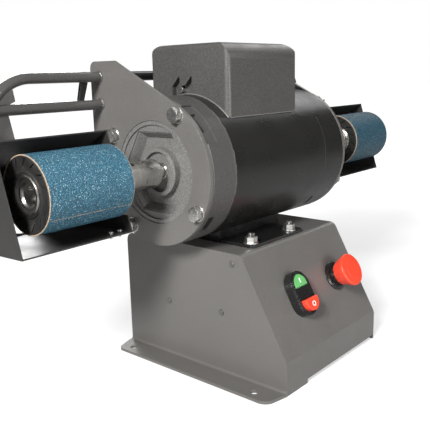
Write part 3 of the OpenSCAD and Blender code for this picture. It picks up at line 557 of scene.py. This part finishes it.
def finish_mesh(name, bm, strips=frozenset(), limit_deg=HARD_EDGE_DEG):
    """Turns the bmesh into an object whose flats shade flat and whose curves shade smooth."""
    bmesh.ops.recalc_face_normals(bm, faces=bm.faces)
    limit = math.cos(math.radians(limit_deg))
    area = flat_areas(bm)
    corners = [loop for face in bm.faces for loop in face.loops]
    normals = {loop: corner_normal(loop, strips, limit, area) for loop in corners}
    level_corners(bm, normals, strips, area)
    points, faces = split_creases(bm, normals)
    mesh = bpy.data.meshes.new(name)
    mesh.from_pydata(points, [], faces)
    mesh.polygons.foreach_set("material_index", [face.material_index for face in bm.faces])
    bm.free()
    mesh.shade_smooth()
    mesh.normals_split_custom_set(list(normals.values()))
    piece = bpy.data.objects.new(name, mesh)
    bpy.context.scene.collection.objects.link(piece)
    return piece


def place(piece, body, slot, material=None, stands_for=()):
    """Gives a piece its material (the slot's own unless another is named), the body it rides on and hides the
    nodes it replaces.
    """
    piece.data.materials.clear()
    piece.data.materials.append(MATERIALS[material or slot])
    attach(piece, body)
    if stands_for:
        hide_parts(*stands_for)


def round_edges(bm, edge):
    """Rounds the hard edges by edge millimetres, keeps the flats flat and returns the new strips."""
    area = flat_areas(bm)
    planes = [(f.normal.copy(), f.verts[0].co.copy(), area[f]) for f in bm.faces]
    source = bm.faces.layers.int.new("source")
    for index, face in enumerate(bm.faces):
        face[source] = index
    hard = [e for e in bm.edges
            if len(e.link_faces) == 2 and e.calc_face_angle(0) > math.radians(HARD_EDGE_DEG)]
    made = bmesh.ops.bevel(bm, geom=hard, offset=edge * MM, segments=EDGE_SEGMENTS, profile=0.5,
                           affect="EDGES", clamp_overlap=True)
    strips = frozenset(made["faces"])
    for face in bm.faces:
        normal, point, size = planes[face[source]]
        if face not in strips and size > FLAT_AREA:
            for vert in face.verts:
                vert.co -= normal * (vert.co - point).dot(normal)
    return strips


def refine(node, edge, material=None, edge_highlight=None):
    """Rebuilds a CAD node as a clean mesh; its hard edges are rounded and may take a lighter paint, a painted
    highlight.
    """
    bm = bmesh.new()
    bm.from_mesh(frame["nodes"][node].data)
    bmesh.ops.remove_doubles(bm, verts=bm.verts, dist=2e-6)
    bmesh.ops.dissolve_limit(bm, angle_limit=math.radians(0.3), verts=bm.verts, edges=bm.edges)
    strips = round_edges(bm, edge) if edge else frozenset()
    # The rounded edge strips take the lighter edge paint: painted highlight.
    if edge_highlight:
        for face in strips:
            face.material_index = 1
    piece = finish_mesh(node + "_skin", bm, strips)
    place(piece, BODY_OF[node], SLOT_OF[node], material, (node,))
    if edge_highlight:
        piece.data.materials.append(MATERIALS[edge_highlight])


# ---- shapes ----
TURN_STEPS = 48
CORNER_SLOPE, TOP_SHARE = 0.55, 0.95
BOLT_ACROSS, BOLT_HEAD_H, BOLT_R = 14.3, 6.3, 4.76
FOOT_THREAD_R = 3.98
MARK_FOOT, MARK_TOP = -0.05, 0.22


def islands(node):
    """Corners of the box around each loose part of a CAD node."""
    bm = bmesh.new()
    bm.from_mesh(frame["nodes"][node].data)
    bmesh.ops.remove_doubles(bm, verts=bm.verts, dist=2e-6)
    seen, found = set(), []
    for start in bm.verts:
        if start in seen:
            continue
        seen.add(start)
        queue, part = [start], [start.co.copy()]
        while queue:
            for edge in queue.pop().link_edges:
                for vert in edge.verts:
                    if vert not in seen:
                        seen.add(vert)
                        queue.append(vert)
                        part.append(vert.co.copy())
        found.append([Vector(pick(p[k] for p in part) for k in range(3)) for pick in (min, max)])
    bm.free()
    return found


def sweep(bm, rows, closed_rows, closed_columns):
    """Joins equal rows of vertices with quads."""
    count = len(rows)
    width = len(rows[0])
    for i in range(count if closed_rows else count - 1):
        for j in range(width if closed_columns else width - 1):
            a, b = rows[i], rows[(i + 1) % count]
            bm.faces.new((a[j], a[(j + 1) % width], b[(j + 1) % width], b[j]))


def spoke(bm, matrix, angle, profile):
    """Vertices of a (radius, height) profile in millimetres, at one angle round the local z."""
    return [bm.verts.new(matrix @ (Vector((r * math.cos(angle), r * math.sin(angle), h)) * MM))
            for r, h in profile]


def turned(bm, matrix, profile, start=0.0, end=360.0):
    """Turns a closed (radius, height) profile in millimetres; a part turn gets flat ends."""
    whole = end - start >= 360
    count = TURN_STEPS if whole else TURN_STEPS + 1
    rows = [spoke(bm, matrix, math.radians(start + (end - start) * i / TURN_STEPS), profile)
            for i in range(count)]
    sweep(bm, rows, whole, True)
    if not whole:
        bm.faces.new(rows[0])
        bm.faces.new(rows[-1])


def hex_head(bm, matrix, across, height, bore=0.001):
    """Hexagon of a bolt head or nut whose corners are turned off on the outer side."""
    top_r = across / 2 * TOP_SHARE
    rows = []
    for i in range(TURN_STEPS):
        turn = i * 360 / TURN_STEPS
        reach = across / 2 / math.cos(math.radians(turn % 60 - 30))
        shoulder = height - (reach - top_r) * CORNER_SLOPE
        points = [(bore, 0), (reach, 0), (reach, shoulder), (top_r, height), (bore, height)]
        rows.append(spoke(bm, matrix, math.radians(turn), points))
    sweep(bm, rows, True, True)


def axis_frame(origin, axis):
    """Frame at origin whose local z runs along the axis."""
    return Matrix.Translation(origin) @ Vector(axis).to_track_quat("Z", "Y").to_matrix().to_4x4()


def across_shaft(node):
    """For each loose part of a node on a motor face: side, inner and outer x, and its y and z."""
    for low, high in islands(node):
        side = 1 if low.x > 0 else -1
        inner, outer = (low.x, high.x) if side > 0 else (high.x, low.x)
        yield side, inner, outer, (low.y + high.y) / 2, (low.z + high.z) / 2


def make_face_bolts():
    """Hexagon bolts of the motor faces, each turned a little differently."""
    bm = bmesh.new()
    for side, inner, outer, y, z in across_shaft("face_bolts"):
        spin = Matrix.Rotation(y * 40, 4, "Z")
        head = axis_frame((outer - side * BOLT_HEAD_H * MM, y, z), (side, 0, 0)) @ spin
        hex_head(bm, head, BOLT_ACROSS, BOLT_HEAD_H)
        end = BOLT_HEAD_H - abs(outer - inner) / MM
        turned(bm, head, [(BOLT_R, 0.01), (BOLT_R, end), (0.001, end), (0.001, 0.01)])
    place(finish_mesh("face_bolts_made", bm), BODY_OF["face_bolts"], "zinc", None, ("face_bolts",))


def make_face_washers():
    """A flat washer and a split spring washer under each bolt of the motor faces."""
    flat, spring = bmesh.new(), bmesh.new()
    for side, inner, _, y, z in across_shaft("face_washers"):
        base = axis_frame((inner, y, z), (side, 0, 0))
        turned(flat, base, [(5.0, 0), (8.9, 0), (8.9, 0.8), (8.6, 1.1), (5.0, 1.1)])
        split = y * 3000
        turned(spring, base, [(5.0, 1.1), (7.9, 1.1), (7.9, 2.2), (5.0, 2.2)], split + 8, split + 352)
    place(finish_mesh("face_washers_made", flat), BODY_OF["face_washers"], "zinc", None,
          ("face_washers",))
    place(finish_mesh("spring_washers", spring), BODY_OF["face_washers"], "zinc", "dull_zinc")


def make_foot_nuts():
    """Hexagon nuts of the motor foot, each turned a little differently."""
    bm = bmesh.new()
    for low, high in islands("foot_nuts"):
        base = axis_frame(((low.x + high.x) / 2, (low.y + high.y) / 2, low.z), (0, 0, 1))
        turn = Matrix.Rotation(low.x * 30, 4, "Z")
        hex_head(bm, base @ turn, (high.y - low.y) / MM, (high.z - low.z) / MM, FOOT_THREAD_R)
    place(finish_mesh("foot_nuts_made", bm), BODY_OF["foot_nuts"], "zinc", None, ("foot_nuts",))


def make_weld_beads():
    """Rippled fillet welds where the rails meet the bracket plates."""
    bm = bmesh.new()
    for rail, plate in (("rail_lower_near", "bracket_plate_near"),
                        ("rail_lower_far", "bracket_plate_far")):
        side = 1 if plate.endswith("far") else -1
        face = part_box(plate)[1].x if side > 0 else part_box(plate)[0].x
        low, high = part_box(rail)
        y = (low.y + high.y) / 2
        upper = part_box("rail_upper_near")[1].z - (high.z - low.z) / 2
        for z in ((low.z + high.z) / 2, upper):
            base = axis_frame((face, y, z), (side, 0, 0))
            rows = []
            for i in range(72):
                angle = math.radians(i * 5)
                fat = 1.5 + 0.22 * math.sin(angle * 17) + 0.2 * math.sin(angle * 3 + z * 90)
                profile = [(5.6, 0), (5.75 + fat, 0), (5.75 + fat * 0.62, fat * 0.62), (5.6, fat * 1.1)]
                rows.append(spoke(bm, base, angle, profile))
            sweep(bm, rows, True, True)
    place(finish_mesh("weld_beads", bm, limit_deg=70), "base", "panel_paint", "rail_paint")


def tube_along(bm, points, radius):
    """Eight-sided bead of the given radius in millimetres through the points."""
    rows = []
    for i, point in enumerate(points):
        ahead = points[min(i + 1, len(points) - 1)] - points[max(i - 1, 0)]
        base = axis_frame(point, ahead)
        rows.append([spoke(bm, base, k * math.tau / 8, [(radius, 0)])[0] for k in range(8)])
    sweep(bm, rows, False, True)
    bm.faces.new(rows[0])
    bm.faces.new(rows[-1])


def make_box_lip():
    """Thin rolled lip where the capacitor box sits on the shell, painted light grey as a painted highlight."""
    low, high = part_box("capacitor_box")
    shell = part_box("stator_shell")[1].z - AXIS_Z
    reach = math.asin(high.y / shell)
    out, lift = 0.2 * MM, 0.4 * MM
    bm = bmesh.new()
    arc = [reach * (i / 20 - 1) for i in range(41)]
    tube_along(bm, [SHAFT + Vector((low.x - out, shell * math.sin(a), shell * math.cos(a) + lift))
                    for a in arc], 0.75)
    drop = AXIS_Z + shell * math.cos(reach) + lift
    for y in (low.y - out, high.y + out):
        tube_along(bm, [Vector((x, y, drop)) for x in (low.x + 5 * MM, high.x - 5 * MM)], 0.6)
    # The lip takes the light grey paint: painted highlight.
    place(finish_mesh("box_lip", bm, limit_deg=60), "base", "box_paint", "lip_highlight")


def button_top(node):
    """Frame on the top face of a push button, local y up the sloping panel."""
    points = [v.co for v in frame["nodes"][node].data.vertices]
    top = max(p.dot(PANEL_OUT) for p in points)
    face = [p for p in points if p.dot(PANEL_OUT) > top - 0.05 * MM]
    low, high = (Vector(pick(p[k] for p in face) for k in range(3)) for pick in (min, max))
    middle = (low + high) / 2
    side = Vector((1, 0, 0))
    turn = Matrix((side, PANEL_OUT.cross(side), PANEL_OUT)).transposed().to_4x4()
    return Matrix.Translation(middle) @ turn


def make_button_marks():
    """Raised white bar on the start button and ring on the stop button."""
    bm = bmesh.new()
    base = button_top("start_button")
    across, along = 0.7, 2.9
    corners = [bm.verts.new(base @ (Vector((x, y, z)) * MM)) for z in (MARK_FOOT, MARK_TOP)
               for x, y in ((-across, -along), (across, -along), (across, along), (-across, along))]
    sweep(bm, [corners[:4], corners[4:]], False, True)
    bm.faces.new(corners[:4])
    bm.faces.new(corners[4:])
    place(finish_mesh("start_mark", bm), BODY_OF["start_button"], "green_plastic", "icon_white")
    bm = bmesh.new()
    ring = [(2.0, MARK_FOOT), (3.1, MARK_FOOT), (3.1, MARK_TOP), (2.0, MARK_TOP)]
    turned(bm, button_top("stop_button"), ring)
    place(finish_mesh("stop_mark", bm), BODY_OF["stop_button"], "red_plastic", "icon_white")


# ---- the machine ----
PLAIN_EDGE = 0.4
EDGES = {"pedestal_wrap": 0.7, "side_plate_near": 0.7, "side_plate_far": 0.7,
         "bracket_plate_near": 0.7, "bracket_plate_far": 0.7, "capacitor_box": 0.8,
         "end_bell_near": 0.6, "end_bell_far": 0.6, "motor_foot": 0.8}
EDGES.update(dict.fromkeys(("arbor_near", "arbor_far", "motor_shaft", "drum_hubs", "estop_head",
                            "estop_collar", "bearing_outer_rings", "bearing_inner_rings"), 0))
# Lighter paints for the rounded edge strips of each node: painted highlights.
EDGE_HIGHLIGHT_PAINT = {"capacitor_box": "box_edge_highlight", "motor_foot": "black_edge_highlight", "hood_near": "hood_edge_highlight",
              "hood_far": "hood_edge_highlight", "end_bell_near": "cast_edge_highlight"}
EDGE_HIGHLIGHT_PAINT.update(dict.fromkeys(("pedestal_wrap", "side_plate_near", "side_plate_far",
                                 "bracket_plate_near", "bracket_plate_far"), "panel_edge_highlight"))
PAINT_OF = {"stator_shell": "shell_paint", "abrasive_sleeve_near": "grit_near",
            "abrasive_sleeve_far": "grit_far_painted_shade", "side_screws": "dull_zinc",
            "arbor_set_screws": "dark_steel", "hub_screws": "dark_steel",
            "foot_bolts": "threaded_zinc"}
PAINT_OF.update(dict.fromkeys(("rail_upper_near", "rail_lower_near", "rail_upper_far",
                               "rail_lower_far"), "rail_paint"))
MADE = ("face_bolts", "face_washers", "foot_nuts")

make_camera()
make_stage()
for node_name in frame["nodes"]:
    if node_name not in MADE:
        refine(node_name, EDGES.get(node_name, PLAIN_EDGE), PAINT_OF.get(node_name),
               EDGE_HIGHLIGHT_PAINT.get(node_name))
make_face_bolts()
make_face_washers()
make_foot_nuts()
make_weld_beads()
make_box_lip()
make_button_marks()
